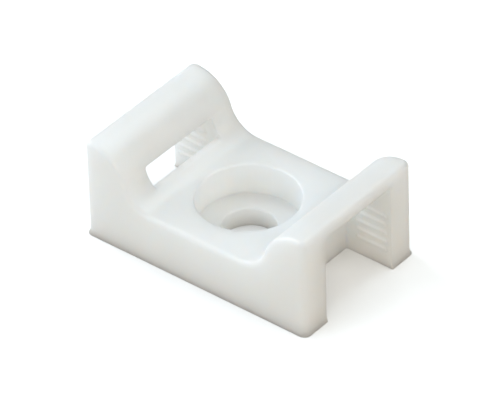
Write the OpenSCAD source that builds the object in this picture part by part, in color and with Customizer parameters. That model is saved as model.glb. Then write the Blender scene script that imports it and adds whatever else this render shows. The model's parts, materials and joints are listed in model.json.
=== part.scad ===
// Cradle cable tie mount held down by one screw, moulded in one piece of natural nylon.
// Cables lie across the low saddle. A cable tie lies under them, passes out through the slot
// in each raised end, between its two legs, and closes round the cables on top.
// X runs from one raised end to the other, Y across the legs and Z up from the face that
// is screwed down. The origin is at the middle of that face.

/* [Body] */
// Length over the two raised ends, above the lip round the foot
body_len = 21.8; // [20.8:0.1:26]
// Width across the legs, above the lip round the foot
body_w = 13.4; // [12.4:0.1:18]
// Height of the saddle between the raised ends
saddle_h = 4.45; // [4.2:0.05:4.7]
// Height of the raised ends
end_h = 8.95; // [8.5:0.05:9.4]
// Radius of the four upright corners, and length of the flat top of each raised end
corner_r = 0.55; // [0.45:0.05:0.9]
// Radius round the top edges
edge_r = 0.35; // [0.1:0.05:0.4]

/* [Raised ends] */
// Radius of the rounded shoulder of each raised end
crown_r = 3.65; // [3.3:0.05:3.9]
// Radius of the hollow curve that rises from the saddle to the shoulder
sweep_r = 2.6; // [2:0.05:2.7]
// Thickness of the arched wall that joins each pair of legs
arch_wall = 1.05; // [0.8:0.05:1.3]
// Length of the solid block between the two hollows under the arches
block_len = 12.9; // [12.4:0.1:13.2]

/* [Tie slots] */
// Width of the gap between two legs, and of the slot for the tie
gap_w = 8.05; // [6:0.05:9]
// Height of the slot's lower lip above the saddle
slot_rise = 0.5; // [0.35:0.05:0.6]
// Height of the slot
slot_h = 1.6; // [1.2:0.05:1.8]

/* [Grip ribs] */
// Number of ribs on the inside of each leg
rib_count = 5; // [1:1:6]
// Height of the lowest rib's middle
rib_low = 1.7; // [1.2:0.05:1.9]
// Distance from one rib to the next
rib_pitch = 0.81; // [0.6:0.01:0.9]
// Length of each rib
rib_len = 2.6; // [1.5:0.1:3]
// Distance from the leg's end face to the ribs
rib_inset = 0.6; // [0.3:0.05:0.8]
// Radius of each rib's round back
rib_r = 0.21; // [0.15:0.01:0.25]
// Distance that each rib stands out of the leg
rib_proud = 0.15; // [0.08:0.01:0.15]

/* [Screw] */
// Diameter of the hole for the screw
screw_d = 4.4; // [3:0.1:5.5]
// Diameter of the sunk seat for the screw's head
head_d = 8.4; // [7.5:0.1:8.4]
// Depth of the seat below the saddle
head_depth = 2.8; // [2:0.05:3.2]
// Radius round the rims of the seat and the hole
rim_r = 0.12; // [0.05:0.01:0.14]

/* [Foot] */
// Height of the flared lip round the foot
lip_h = 0.5; // [0.3:0.05:0.8]
// Distance that the lip stands out at the very bottom
lip_out = 0.12; // [0.05:0.01:0.2]

/* [Hidden] */
$fn = 96;
// Length by which a cut runs past the face that it opens
past = 0.5;
nylon = [0.93, 0.94, 0.92];
half_len = body_len / 2;
half_w = body_w / 2;
// Centre of the shoulder, and centre of the hollow curve that meets it smoothly
crown_x = half_len - corner_r;
crown_z = end_h - crown_r;
sweep_z = saddle_h + sweep_r;
sweep_x = crown_x - sqrt(pow(crown_r + sweep_r, 2) - pow(sweep_z - crown_z, 2));
slot_low = saddle_h + slot_rise;
head_seat = saddle_h - head_depth;

// Its children and their mirror image across the plane with this normal.
module both_ways(normal) {
    children();
    mirror(normal) children();
}

// Turns a flat drawing of X and height into a wall that is centred on Y.
module across_y(width) {
    rotate([90, 0, 0])
        linear_extrude(height = width, center = true)
            children();
}

// Turns a flat drawing of Y and height into a bar that is centred on X.
module along_x(length) {
    rotate([90, 0, 90])
        linear_extrude(height = length, center = true)
            children();
}

// Turns a flat drawing of radius and Y round an axis along Y.
module round_y(x, z) {
    translate([x, 0, z])
        rotate([-90, 0, 0])
            rotate_extrude()
                children();
}

// What is cut off a square edge to round it, drawn round the centre of the rounding.
module edge_waste(radius) {
    difference() {
        square(radius + past);
        circle(r = radius);
    }
}

// One half of a section whose far top corner is round.
module rounded_half(reach, height) {
    difference() {
        square([reach, height]);
        translate([reach - edge_r, height - edge_r]) edge_waste(edge_r);
    }
}

// The block that the body is cut from, with its upright corners and top edges round.
module round_block() {
    along_x(2 * crown_x) both_ways([1, 0, 0]) rounded_half(half_w, end_h);
    across_y(body_w - 2 * corner_r) both_ways([1, 0, 0]) rounded_half(half_len, end_h);
    both_ways([1, 0, 0]) both_ways([0, 1, 0])
        translate([crown_x, half_w - corner_r, 0])
            rotate_extrude() rounded_half(corner_r, end_h);
}

// The stretch under the saddle, which runs on inside both raised ends.
module saddle_stretch() {
    along_x(body_len) both_ways([1, 0, 0]) rounded_half(half_w, saddle_h);
}

// The stretch under the hollow curve: a block with a flared bobbin cut out of it.
module sweep_stretch() {
    difference() {
        across_y(body_w)
            polygon([
                [sweep_x, 0],
                [half_len, 0],
                [half_len, crown_z],
                [crown_x, crown_z],
                [sweep_x, sweep_z]
            ]);
        round_y(sweep_x, sweep_z) {
            translate([0, -half_w - past]) square([sweep_r, body_w + 2 * past]);
            both_ways([0, 1, 0])
                translate([sweep_r + edge_r, half_w - edge_r])
                    mirror([1, 0]) edge_waste(edge_r);
        }
    }
}

// The stretch behind the shoulder: a thick disc with round rims.
module crown_stretch() {
    round_y(crown_x, crown_z) both_ways([0, 1, 0]) rounded_half(crown_r, half_w);
}

// The stretch with the flat top, up to the end face.
module end_stretch() {
    across_y(body_w) translate([crown_x, 0]) square([corner_r, end_h]);
}

// One half of a section through the flared lip.
module lip_half(reach) {
    polygon([
        [0, 0],
        [reach + lip_out, 0],
        [reach, lip_h],
        [0, lip_h]
    ]);
}

// The foot, whose edge flares out to a thin lip all the way round.
module flared_foot() {
    across_y(body_w - 2 * corner_r) both_ways([1, 0, 0]) lip_half(half_len);
    along_x(body_len - 2 * corner_r) both_ways([1, 0, 0]) lip_half(half_w);
    both_ways([1, 0, 0]) both_ways([0, 1, 0])
        translate([crown_x, half_w - corner_r, 0])
            cylinder(h = lip_h, r1 = corner_r + lip_out, r2 = corner_r);
}

// The hollow under one arch, open to the end and below, with the slot that leads up from it.
module end_hollow() {
    across_y(gap_w) {
        translate([block_len / 2, -past])
            square([half_len + lip_out + past - block_len / 2, slot_low + past]);
        translate([sweep_x, slot_low]) square([crown_x - sweep_x, slot_h]);
        intersection() {
            translate([crown_x, crown_z]) circle(r = crown_r - arch_wall);
            translate([sweep_x, slot_low]) square([crown_x - sweep_x, end_h]);
        }
        translate([crown_x, slot_low - past])
            square([corner_r + past, end_h - arch_wall - slot_low + past]);
    }
}

// The grip ribs on the insides of one pair of legs.
module grip_ribs() {
    both_ways([0, 1, 0])
        for (i = [0 : rib_count - 1])
            translate([
                half_len - rib_inset - rib_len,
                gap_w / 2 + rib_r - rib_proud,
                rib_low + i * rib_pitch
            ])
                rotate([0, 90, 0]) cylinder(h = rib_len, r = rib_r);
}

// What is cut away to round the rim of a hole, with the rim's top at height 0.
module rim_waste(radius) {
    rotate_extrude()
        translate([radius + rim_r, -rim_r])
            mirror([1, 0]) edge_waste(rim_r);
}

// The screw's hole and the sunk seat for its head.
module screw_hole() {
    translate([0, 0, -past]) cylinder(h = saddle_h + 2 * past, d = screw_d);
    translate([0, 0, head_seat]) cylinder(h = head_depth + past, d = head_d);
    translate([0, 0, saddle_h]) rim_waste(head_d / 2);
    translate([0, 0, head_seat]) rim_waste(screw_d / 2);
}

// The whole moulding.
module mount_body() {
    color(nylon) {
        difference() {
            union() {
                intersection() {
                    round_block();
                    union() {
                        saddle_stretch();
                        both_ways([1, 0, 0]) {
                            sweep_stretch();
                            crown_stretch();
                            end_stretch();
                        }
                    }
                }
                flared_foot();
            }
            both_ways([1, 0, 0]) end_hollow();
            screw_hole();
        }
        both_ways([1, 0, 0]) grip_ribs();
    }
}

mount_body();
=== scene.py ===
# %% [markdown]
# Cable tie mount, moulded in one piece of natural nylon
#
# The part is a low cradle. Cables lie across its saddle, a cable tie lies under them and leaves
# through a slot in each raised end, and one screw in the middle holds the mount to a panel.
# Natural nylon is milky and slightly see-through, so the look depends on three things: soft
# edges with true radii, light that wanders inside the plastic, and a satin skin.

import json
import math

import bpy
from mathutils import Matrix, Vector


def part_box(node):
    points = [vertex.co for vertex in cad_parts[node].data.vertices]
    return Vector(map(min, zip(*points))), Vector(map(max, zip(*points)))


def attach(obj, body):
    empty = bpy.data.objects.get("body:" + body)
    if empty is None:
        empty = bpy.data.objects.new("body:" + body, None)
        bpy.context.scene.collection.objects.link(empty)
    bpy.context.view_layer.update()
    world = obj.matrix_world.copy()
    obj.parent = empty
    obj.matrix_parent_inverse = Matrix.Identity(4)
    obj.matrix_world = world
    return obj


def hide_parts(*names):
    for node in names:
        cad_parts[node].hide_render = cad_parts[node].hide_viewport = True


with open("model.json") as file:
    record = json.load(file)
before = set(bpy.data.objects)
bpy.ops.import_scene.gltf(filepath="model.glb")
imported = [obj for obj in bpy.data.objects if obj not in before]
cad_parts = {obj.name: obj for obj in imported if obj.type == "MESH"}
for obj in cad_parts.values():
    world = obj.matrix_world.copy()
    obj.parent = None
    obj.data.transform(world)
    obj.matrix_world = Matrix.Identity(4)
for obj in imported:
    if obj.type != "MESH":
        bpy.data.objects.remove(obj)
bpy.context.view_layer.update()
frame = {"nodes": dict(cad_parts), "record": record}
low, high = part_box("mount_body")
MM = 0.001
print("frame:", [round((b - a) / MM, 2) for a, b in zip(low, high)], "mm")

# %% [markdown]
# Sizes
#
# The outer size and the holes are read from the frame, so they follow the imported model. The rest
# are the radii and walls that a toolmaker would write on the mould drawing. All are millimetres,
# because a tree full of 0.0004s is hard to read. The last node turns them into metres.

# %% Sizes of the moulding
mounts = {m["name"]: m for m in frame["record"]["mounts"]}
LIP_OUT = 0.12
SIZES = {
    "Half length": high[0] / MM - LIP_OUT,
    "Half width": high[1] / MM - LIP_OUT,
    "End height": high[2] / MM,
    "Saddle height": 4.45,
    "Shoulder radius": 3.65,
    "Hollow radius": 2.6,
    "Flat length": 0.55,
    "Corner radius": 0.62,
    "Top edge radius": 0.46,
    "Rim radius": 0.16,
    "Fine edge radius": 0.08,
    "Inner corner radius": 0.2,
    "Lip height": 0.55,
    "Lip reach": LIP_OUT,
    "Arch wall": 1.05,
    "Half block": 6.45,
    "Half gap": 4.025,
    "Slot floor": 4.95,
    "Slot height": 1.6,
    "Seat radius": mounts["screw_head_seat"]["dims"]["r_mm"],
    "Seat floor": 1.65,
    "Hole radius": mounts["screw_hole"]["dims"]["r_mm"],
    "Lowest rib": 1.7,
    "Rib pitch": 0.81,
    "Last rib": 4.0,
    "Rib middle": 9.0,
    "Rib half length": 1.3,
    "Rib radius": 0.21,
    "Rib stand-out": 0.2,
}
print(len(SIZES), "sizes")

# %% [markdown]
# A field that says how far away the surface is
#
# A moulding like this could be cut out with booleans and bevelled, but bevels break where a
# curved shoulder, a slot and a leg meet. A distance field has no such corners: every point in
# space gets one number, negative inside the plastic and positive outside, and rounding an edge
# is one formula. In Geometry Nodes such a formula is a chain of Math nodes that starts from
# Position. The small class below lets Python write that chain the way it is written on paper.


# %% Fields that can be added, subtracted and compared
class Field:
    """A socket of the tree that Python can calculate with."""

    tree = None

    def __init__(self, socket):
        self.socket = socket

    @staticmethod
    def math(operation, *values):
        node = Field.tree.nodes.new("ShaderNodeMath")
        node.operation = operation
        for slot, value in zip(node.inputs, values):
            if isinstance(value, Field):
                Field.tree.links.new(value.socket, slot)
            else:
                slot.default_value = value
        return Field(node.outputs[0])

    def __add__(self, other):
        return Field.math("ADD", self, other)

    def __radd__(self, other):
        return Field.math("ADD", other, self)

    def __sub__(self, other):
        return Field.math("SUBTRACT", self, other)

    def __rsub__(self, other):
        return Field.math("SUBTRACT", other, self)

    def __mul__(self, other):
        return Field.math("MULTIPLY", self, other)

    def __rmul__(self, other):
        return Field.math("MULTIPLY", other, self)

    def __truediv__(self, other):
        return Field.math("DIVIDE", self, other)

    def __neg__(self):
        return Field.math("MULTIPLY", self, -1.0)

    def __lt__(self, other):
        return Field.math("LESS_THAN", self, other)

    def __gt__(self, other):
        return Field.math("GREATER_THAN", self, other)


def absolute(a):
    return Field.math("ABSOLUTE", a)


def largest(a, b):
    return Field.math("MAXIMUM", a, b)


def smallest(a, b):
    return Field.math("MINIMUM", a, b)


def rounded(a):
    return Field.math("ROUND", a)


def reach(a, b):
    """Length of the sloping side of a triangle whose other sides are a and b."""
    return Field.math("SQRT", a * a + b * b)


def pick(test, yes, no):
    """yes where test is 1, and no where it is 0."""
    return no + test * (yes - no)


def both(a, b, radius):
    """What two fields share, with the edge between them rounded off."""
    bent = reach(largest(a + radius, 0.0), largest(b + radius, 0.0)) - radius
    return bent + smallest(largest(a + radius, b + radius), 0.0)


def either(a, b, radius):
    """Two fields joined, with a fillet in the corner between them."""
    return -both(-a, -b, radius)


# %% [markdown]
# The outside of the moulding
#
# Seen from the side, each half of the top is four stretches that meet smoothly: the flat saddle,
# a hollow curve, a round shoulder and a short flat. The hollow's and the shoulder's centres are
# found from their radii, as a draughtsman would with compasses. The mount is the same on both
# sides of its middle, so the fields use the distances from the middle and draw only one quarter.


# %% Side view, plan and foot
def outer_skin(s, x, y, z):
    crown_x = s["Half length"] - s["Flat length"]
    crown_z = s["End height"] - s["Shoulder radius"]
    sweep_z = s["Saddle height"] + s["Hollow radius"]
    rise = sweep_z - crown_z
    radii = s["Shoulder radius"] + s["Hollow radius"]
    sweep_x = crown_x - Field.math("SQRT", radii * radii - rise * rise)

    saddle = z - s["Saddle height"]
    hollow = s["Hollow radius"] - reach(x - sweep_x, z - sweep_z)
    shoulder = reach(x - crown_x, z - crown_z) - s["Shoulder radius"]
    flat = z - s["End height"]
    past_joint = (x - crown_x) * rise + (z - crown_z) * (crown_x - sweep_x) > 0.0
    top = pick(x < sweep_x, saddle, pick(past_joint, shoulder, hollow))
    top = pick(x > crown_x, flat, top)

    flare = largest(1.0 - largest(z, 0.0) / s["Lip height"], 0.0)
    flare = s["Lip reach"] * flare * flare
    ends = x - s["Half length"] - flare
    sides = y - s["Half width"] - flare
    plan = both(ends, sides, s["Corner radius"])
    return both(top, plan, s["Top edge radius"]), crown_x, crown_z


# %% [markdown]
# The hollows under the arches and the tie slots
#
# In the mould these are steel cores that slide in from the ends. Each is open to the end and to
# the underside, runs up to the arch, and lets the slot out through the shoulder. Steel cores have
# softened edges, so the plastic gets small fillets inside and small rounds where they break out.


# %% Hollow and slot at one end
def end_core(s, x, y, z, crown_x, crown_z):
    roof_r = s["Shoulder radius"] - s["Arch wall"]
    slot_roof = s["Slot floor"] + s["Slot height"]
    round_roof = reach(x - crown_x, z - crown_z) - roof_r
    flat_roof = z - (s["End height"] - s["Arch wall"])
    back_wall = crown_x - roof_r - x
    arch = pick(x > crown_x, flat_roof, pick(z > crown_z, round_roof, back_wall))
    shaft = largest(s["Half block"] - x, z - slot_roof)
    slot = largest(largest(s["Slot floor"] - z, z - slot_roof), x - crown_x)
    core = either(either(arch, shaft, s["Fine edge radius"]), slot, s["Fine edge radius"])
    return both(core, y - s["Half gap"], s["Inner corner radius"])


# %% [markdown]
# The screw's hole and the seat for its head
#
# Both are plain round pins in the mould. The seat's floor meets its wall in a small fillet, and
# the two rims are just broken, so that the screw's head finds its way in.


# %% Stepped hole for the screw
def screw_pin(s, x, y, z):
    radius = reach(x, y)
    fine = s["Fine edge radius"]
    seat = both(radius - s["Seat radius"], s["Seat floor"] - z, fine)
    return either(seat, radius - s["Hole radius"], fine)


# %% [markdown]
# The grip ribs
#
# Each leg has five thin ribs on its inside, which keep the tie from wandering. They repeat at a
# fixed pitch, so one rib is drawn and space is folded: a point's height is counted from the rib
# that is nearest to it. The formula then gives all the ribs for the price of one.


# %% Ribs on the insides of the legs
def grip_ribs(s, x, y, z):
    number = rounded((z - s["Lowest rib"]) / s["Rib pitch"])
    number = largest(smallest(number, s["Last rib"]), 0.0)
    up = z - s["Lowest rib"] - number * s["Rib pitch"]
    across = y - (s["Half gap"] + s["Rib radius"] - s["Rib stand-out"])
    along = largest(absolute(x - s["Rib middle"]) - s["Rib half length"], 0.0)
    return Field.math("SQRT", along * along + across * across + up * up) - s["Rib radius"]


# %% [markdown]
# From the field to a mesh
#
# Volume Cube samples the field on a fine grid, and Volume to Mesh lays a skin where it crosses
# zero. The skin is a hair off on the curves, so three Set Position nodes then slide each point
# along its normal by the very distance that the field gives there, which puts it on the surface.
# A grid can't hold a knife edge, so the base isn't in the field at all: the body runs on below
# the board, and a last Set Position lifts all that is under zero up to zero. That edge is sharp.

# %% Geometry Nodes tree of the moulding
VOXEL = 0.11
MARGIN = 0.25
LONGEST_SLIDE = 0.1
WELD = 0.004
SHARP_ANGLE = math.radians(60.0)


def new_tree(name, sizes):
    tree = bpy.data.node_groups.new(name, "GeometryNodeTree")
    for label in sizes:
        tree.interface.new_socket(label, in_out="INPUT", socket_type="NodeSocketFloat")
    tree.interface.new_socket("Finish", in_out="INPUT", socket_type="NodeSocketMaterial")
    tree.interface.new_socket("Geometry", in_out="OUTPUT", socket_type="NodeSocketGeometry")
    Field.tree = tree
    return tree


def moulding_field(tree, given):
    s = {label: Field(given.outputs[label]) for label in SIZES}
    place = tree.nodes.new("GeometryNodeInputPosition")
    split = tree.nodes.new("ShaderNodeSeparateXYZ")
    tree.links.new(place.outputs[0], split.inputs[0])
    x, y = (absolute(Field(split.outputs[i])) for i in range(2))
    z = Field(split.outputs[2])
    body, crown_x, crown_z = outer_skin(s, x, y, z)
    core = end_core(s, x, y, z, crown_x, crown_z)
    body = both(body, -core, s["Fine edge radius"])
    body = both(body, -screw_pin(s, x, y, z), s["Rim radius"])
    return either(body, grip_ribs(s, x, y, z), 0.05)


def build_moulding_tree():
    tree = new_tree("moulding", SIZES)
    given = tree.nodes.new("NodeGroupInput")
    distance = moulding_field(tree, given)
    corner = Vector([v / MM + MARGIN for v in high])
    floor = Vector([-corner.x, -corner.y, -MARGIN])
    cube = tree.nodes.new("GeometryNodeVolumeCube")
    tree.links.new((0.5 - distance).socket, cube.inputs["Density"])
    cube.inputs["Background"].default_value = 0.0
    cube.inputs["Min"].default_value = floor
    cube.inputs["Max"].default_value = corner
    for axis, span in zip("XYZ", corner - floor):
        cube.inputs["Resolution " + axis].default_value = round(span / VOXEL)
    skin = tree.nodes.new("GeometryNodeVolumeToMesh")
    skin.inputs["Threshold"].default_value = 0.5
    tree.links.new(cube.outputs[0], skin.inputs[0])
    mesh = skin.outputs[0]
    normal = tree.nodes.new("GeometryNodeInputNormal")
    step = largest(smallest(-distance, LONGEST_SLIDE), -LONGEST_SLIDE)
    for _ in range(3):
        slide = tree.nodes.new("ShaderNodeVectorMath")
        slide.operation = "SCALE"
        tree.links.new(normal.outputs[0], slide.inputs[0])
        tree.links.new(step.socket, slide.inputs["Scale"])
        move = tree.nodes.new("GeometryNodeSetPosition")
        tree.links.new(mesh, move.inputs["Geometry"])
        tree.links.new(slide.outputs[0], move.inputs["Offset"])
        mesh = move.outputs[0]
    split = tree.nodes.new("ShaderNodeSeparateXYZ")
    tree.links.new(tree.nodes.new("GeometryNodeInputPosition").outputs[0], split.inputs[0])
    lifted = tree.nodes.new("ShaderNodeCombineXYZ")
    tree.links.new(split.outputs["X"], lifted.inputs["X"])
    tree.links.new(split.outputs["Y"], lifted.inputs["Y"])
    tree.links.new(largest(Field(split.outputs["Z"]), 0.0).socket, lifted.inputs["Z"])
    base = tree.nodes.new("GeometryNodeSetPosition")
    tree.links.new(lifted.outputs[0], base.inputs["Position"])
    weld = tree.nodes.new("GeometryNodeMergeByDistance")
    weld.inputs["Distance"].default_value = WELD
    smooth = tree.nodes.new("GeometryNodeSetShadeSmooth")
    crease = tree.nodes.new("GeometryNodeSetShadeSmooth")
    crease.domain = "EDGE"
    crease.inputs["Shade Smooth"].default_value = False
    angle = Field(tree.nodes.new("GeometryNodeInputMeshEdgeAngle").outputs[0])
    tree.links.new((angle > SHARP_ANGLE).socket, crease.inputs["Selection"])
    metres = tree.nodes.new("GeometryNodeTransform")
    metres.inputs["Scale"].default_value = (MM, MM, MM)
    real = tree.nodes.new("GeometryNodeRealizeInstances")
    finish = tree.nodes.new("GeometryNodeSetMaterial")
    out = tree.nodes.new("NodeGroupOutput")
    for node in (base, weld, smooth, crease, metres, real, finish):
        tree.links.new(mesh, node.inputs["Geometry"])
        mesh = node.outputs[0]
    tree.links.new(given.outputs["Finish"], finish.inputs["Material"])
    tree.links.new(mesh, out.inputs[0])
    print("moulding tree:", len(tree.nodes), "nodes")
    return tree


# %% [markdown]
# Making the moulding
#
# The tree's inputs are set by their identifiers, before the object is looked at for the first
# time. A planar Decimate then lets the big flat faces be single faces, which leaves the points
# where the curves are. The evaluated result is copied to a plain mesh that has no modifier.

# %% Moulding as a plain mesh
FLAT_ANGLE = math.radians(0.15)


def evaluated_copy(blank, name):
    graph = bpy.context.evaluated_depsgraph_get()
    mesh = bpy.data.meshes.new_from_object(blank.evaluated_get(graph))
    mesh.name = name
    piece = bpy.data.objects.new(name, mesh)
    bpy.context.scene.collection.objects.link(piece)
    bpy.data.objects.remove(blank)
    return piece


def grow(name, tree, sizes, finish):
    blank = bpy.data.objects.new(name + "_blank", bpy.data.meshes.new(name + "_blank"))
    bpy.context.scene.collection.objects.link(blank)
    nodes = blank.modifiers.new("moulding", "NODES")
    nodes.node_group = tree
    for item in tree.interface.items_tree:
        if item.in_out == "INPUT":
            nodes[item.identifier] = finish if item.name == "Finish" else float(sizes[item.name])
    flats = blank.modifiers.new("flats", "DECIMATE")
    flats.decimate_type = "DISSOLVE"
    flats.angle_limit = FLAT_ANGLE
    return evaluated_copy(blank, name)


nylon = frame["nodes"]["mount_body"].material_slots[0].material
moulding = grow("moulding", build_moulding_tree(), SIZES, nylon)
triangles = sum(len(face.vertices) - 2 for face in moulding.data.polygons)
print("moulding:", len(moulding.data.vertices), "points,", triangles, "triangles")

# %% [markdown]
# Natural nylon
#
# Light enters the plastic, wanders for a millimetre or so and comes out elsewhere. That is why
# thin walls glow and deep hollows stay warm. Principled BSDF does it with Subsurface. The skin is
# satin from the mould's fine spark finish: a little bump, and a roughness that drifts slightly.

# %% Node group for a moulded skin


def add_node(tree, kind, **values):
    node = tree.nodes.new(kind)
    for name, value in values.items():
        if name in node.inputs:
            node.inputs[name].default_value = value
        else:
            setattr(node, name, value)
    return node


def moulded_skin_group():
    """Cloudiness, fine grain and flow marks of a moulded part, from Object coordinates."""
    group = bpy.data.node_groups.new("moulded_skin", "ShaderNodeTree")
    face = group.interface
    for label, value in (("Cloud Size", 4.0), ("Grain Size", 0.09)):
        face.new_socket(label, in_out="INPUT", socket_type="NodeSocketFloat").default_value = value
    for label in ("Cloud", "Grain", "Flow"):
        face.new_socket(label, in_out="OUTPUT", socket_type="NodeSocketFloat")
    given, out = group.nodes.new("NodeGroupInput"), group.nodes.new("NodeGroupOutput")
    place = group.nodes.new("ShaderNodeTexCoord")
    link = group.links.new

    def noise(size, detail, stretch=(1.0, 1.0, 1.0)):
        scale = add_node(group, "ShaderNodeMath", operation="DIVIDE")
        scale.inputs[0].default_value = 1.0 / MM
        link(size, scale.inputs[1])
        turn = group.nodes.new("ShaderNodeMapping")
        turn.inputs["Scale"].default_value = stretch
        link(place.outputs["Object"], turn.inputs["Vector"])
        texture = add_node(group, "ShaderNodeTexNoise", Detail=detail, Roughness=0.5)
        link(turn.outputs[0], texture.inputs["Vector"])
        link(scale.outputs[0], texture.inputs["Scale"])
        return texture.outputs[0]

    link(noise(given.outputs["Cloud Size"], 2.0), out.inputs["Cloud"])
    link(noise(given.outputs["Grain Size"], 3.0), out.inputs["Grain"])
    link(noise(given.outputs["Cloud Size"], 3.0, (0.35, 2.0, 2.0)), out.inputs["Flow"])
    return group


SKIN = moulded_skin_group()
print("node group:", SKIN.name, [item.name for item in SKIN.interface.items_tree])

# %% Natural nylon material


def finish_nylon(material):
    material.use_nodes = True
    tree = material.node_tree
    shader = next(n for n in tree.nodes if n.type == "BSDF_PRINCIPLED")
    link = tree.links.new
    skin = tree.nodes.new("ShaderNodeGroup")
    skin.node_tree = SKIN
    skin.inputs["Cloud Size"].default_value = 4.0
    skin.inputs["Grain Size"].default_value = 0.09

    tint = tree.nodes.new("ShaderNodeMix")
    tint.data_type = "RGBA"
    tint.inputs["A"].default_value = (0.90, 0.90, 0.885, 1.0)
    tint.inputs["B"].default_value = (0.93, 0.93, 0.915, 1.0)
    link(skin.outputs["Cloud"], tint.inputs["Factor"])
    link(tint.outputs["Result"], shader.inputs["Base Color"])

    satin = tree.nodes.new("ShaderNodeMapRange")
    satin.inputs["To Min"].default_value = 0.26
    satin.inputs["To Max"].default_value = 0.38
    link(skin.outputs["Flow"], satin.inputs["Value"])
    link(satin.outputs["Result"], shader.inputs["Roughness"])

    waves = add_node(tree, "ShaderNodeBump", Strength=0.25, Distance=0.05 * MM)
    link(skin.outputs["Cloud"], waves.inputs["Height"])
    grain = add_node(tree, "ShaderNodeBump", Strength=0.25, Distance=0.01 * MM)
    link(skin.outputs["Grain"], grain.inputs["Height"])
    link(waves.outputs["Normal"], grain.inputs["Normal"])
    link(grain.outputs["Normal"], shader.inputs["Normal"])

    shader.inputs["IOR"].default_value = 1.53
    shader.inputs["Subsurface Weight"].default_value = 1.0
    shader.inputs["Subsurface Radius"].default_value = (0.80, 0.90, 1.0)
    shader.inputs["Subsurface Scale"].default_value = 3.4 * MM
    print(material.name, "has", len(tree.nodes), "nodes")


finish_nylon(nylon)

# %% [markdown]
# Handing the piece to the frame
#
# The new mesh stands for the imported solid, rides on its body and takes its finish from the
# natural nylon slot. MuJoCo keeps the solid itself for collision.

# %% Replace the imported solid
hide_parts("mount_body")
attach(moulding, "root")
print("moulding spans", [round(v / MM, 2) for v in moulding.dimensions], "mm")

# %% [markdown]
# Floor and backdrop
#
# The mount lies on a pale board, which bounces a little warm light up into the hollows. To the
# camera the board also glows, by what a lit board lacks to be pure white. An Ambient Occlusion
# node takes that glow away close to the part, so the shadow between the legs stays; this darkening
# is painted shade on the board round the part, on top of the lamps' own shadow. Milky plastic
# leaks light through its base, and a real board sends it back. Here the board lies a hair under
# the part and glows where the part fully covers it, a painted light under the foot that stands in
# for that return, or the foot would look burnt.

# %% Floor
FLOOR_HALF = 0.6
FLOOR_DROP = 0.03 * MM
FLOOR_LIFT = 0.44
PAINTED_RETURN_GLOW = 0.16
SHADOW_REACH = 0.010


def pale_board():
    material = bpy.data.materials.new("pale_board")
    material.use_nodes = True
    tree = material.node_tree
    shader = next(n for n in tree.nodes if n.type == "BSDF_PRINCIPLED")
    path = tree.nodes.new("ShaderNodeLightPath")
    colour = tree.nodes.new("ShaderNodeMix")
    colour.data_type = "RGBA"
    colour.inputs["A"].default_value = (0.75, 0.70, 0.63, 1.0)
    colour.inputs["B"].default_value = (0.90, 0.90, 0.90, 1.0)
    tree.links.new(path.outputs["Is Camera Ray"], colour.inputs["Factor"])
    tree.links.new(colour.outputs["Result"], shader.inputs["Base Color"])
    # Painted shade: the camera's glow on the board fades with Ambient Occlusion, so the board is
    # darker close to the part.
    openness = add_node(tree, "ShaderNodeAmbientOcclusion", Distance=SHADOW_REACH)
    openness.samples = 16
    lift = add_node(tree, "ShaderNodeMath", operation="MULTIPLY")
    lift.inputs[1].default_value = FLOOR_LIFT
    tree.links.new(openness.outputs["AO"], lift.inputs[0])
    # Painted light: where the part fully covers the board, the board glows for every ray but the
    # camera's and lights the foot from below.
    covered = add_node(tree, "ShaderNodeMath", operation="SUBTRACT")
    covered.inputs[0].default_value = 1.0
    tree.links.new(openness.outputs["AO"], covered.inputs[1])
    beneath = add_node(tree, "ShaderNodeMath", operation="POWER")
    beneath.inputs[1].default_value = 6.0
    tree.links.new(covered.outputs[0], beneath.inputs[0])
    painted_return_glow = add_node(tree, "ShaderNodeMath", operation="MULTIPLY")
    painted_return_glow.inputs[1].default_value = PAINTED_RETURN_GLOW
    tree.links.new(beneath.outputs[0], painted_return_glow.inputs[0])
    glow = tree.nodes.new("ShaderNodeMix")
    tree.links.new(path.outputs["Is Camera Ray"], glow.inputs["Factor"])
    tree.links.new(painted_return_glow.outputs[0], glow.inputs["A"])
    tree.links.new(lift.outputs[0], glow.inputs["B"])
    shader.inputs["Emission Color"].default_value = (0.97, 0.985, 1.0, 1.0)
    tree.links.new(glow.outputs["Result"], shader.inputs["Emission Strength"])
    shader.inputs["Roughness"].default_value = 0.9
    shader.inputs["Specular IOR Level"].default_value = 0.1
    return material


def lay_floor():
    mesh = bpy.data.meshes.new("floor")
    corners = [(-1, -1), (1, -1), (1, 1), (-1, 1)]
    points = [(x * FLOOR_HALF, y * FLOOR_HALF, -FLOOR_DROP) for x, y in corners]
    mesh.from_pydata(points, [], [(0, 1, 2, 3)])
    mesh.materials.append(pale_board())
    floor = bpy.data.objects.new("floor", mesh)
    bpy.context.scene.collection.objects.link(floor)
    print("floor:", 2 * FLOOR_HALF, "m square")


lay_floor()

# %% [markdown]
# Lamps
#
# Small white parts are shot in a light tent. Six soft boxes stand in a ring round the mount, so
# no side falls black. The back and the left are cooler and stronger, as daylight through cloth,
# and the right and the low one on the left are a little warmer.

# %% Soft boxes in a ring
MIDDLE = Vector((0.0, 0.0, high[2] / 2.0))
BOX_DISTANCE, BOX_SIZE = 0.32, 0.20
SOFT_BOXES = (
    # name, degrees round from +X, degrees up, watts, colour
    ("back", 90, 62, 0.33, (0.84, 0.95, 1.0)),
    ("left", 180, 40, 0.38, (0.86, 0.95, 1.0)),
    ("left_low", 180, 20, 0.32, (0.97, 0.97, 1.0)),
    ("front_left", 240, 35, 0.36, (0.80, 0.90, 1.0)),
    ("front_right", 315, 35, 0.36, (1.0, 0.97, 0.88)),
    ("right", 20, 32, 0.23, (1.0, 0.93, 0.86)),
)


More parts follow.
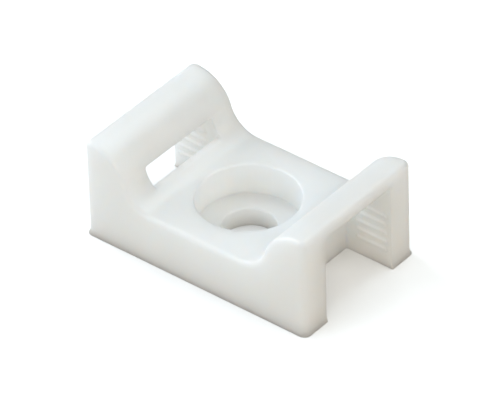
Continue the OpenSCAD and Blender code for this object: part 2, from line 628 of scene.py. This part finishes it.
def soft_box(name, around, above, watts, colour):
    light = bpy.data.lights.new(name, "AREA")
    light.shape = "SQUARE"
    light.size = BOX_SIZE
    light.energy = watts
    light.color = colour
    turn, lift = math.radians(around), math.radians(above)
    out = Vector((math.cos(turn) * math.cos(lift), math.sin(turn) * math.cos(lift), math.sin(lift)))
    lamp = bpy.data.objects.new(name, light)
    lamp.location = MIDDLE + out * BOX_DISTANCE
    lamp.rotation_euler = (-out).to_track_quat("-Z", "Y").to_euler()
    bpy.context.scene.collection.objects.link(lamp)


for box in SOFT_BOXES:
    soft_box(*box)
print(len(SOFT_BOXES), "soft boxes")

# %% White world, for the camera only


def white_world():
    world = bpy.data.worlds.new("white_room")
    bpy.context.scene.world = world
    world.use_nodes = True
    air = next(n for n in world.node_tree.nodes if n.type == "BACKGROUND")
    path = world.node_tree.nodes.new("ShaderNodeLightPath")
    air.inputs["Color"].default_value = (1.0, 1.0, 1.0, 1.0)
    world.node_tree.links.new(path.outputs["Is Camera Ray"], air.inputs["Strength"])


white_world()

# %% Camera
AZIMUTH, ELEVATION, ROLL = math.radians(40.09), math.radians(37.59), math.radians(-1.82)
DISTANCE = 0.4701
FOCAL = 6054.5 / 500 * 36.0


def shop_camera():
    away = Vector((
        math.sin(AZIMUTH) * math.cos(ELEVATION),
        -math.cos(AZIMUTH) * math.cos(ELEVATION),
        math.sin(ELEVATION),
    ))
    right = Vector((math.cos(AZIMUTH), math.sin(AZIMUTH), 0.0))
    up = away.cross(right)
    tilted_right = math.cos(ROLL) * right + math.sin(ROLL) * up
    tilted_up = -math.sin(ROLL) * right + math.cos(ROLL) * up
    turn = Matrix((tilted_right, tilted_up, away)).transposed().to_4x4()
    data = bpy.data.cameras.new("camera")
    data.sensor_width = 36.0
    data.lens = FOCAL
    data.clip_start = 0.01
    data.shift_x, data.shift_y = 0.0032, -0.0243
    camera = bpy.data.objects.new("camera", data)
    camera.matrix_world = Matrix.Translation(MIDDLE + away * DISTANCE) @ turn
    bpy.context.scene.collection.objects.link(camera)
    bpy.context.scene.camera = camera
    return camera


camera = shop_camera()
bpy.context.scene.view_settings.view_transform = "Standard"
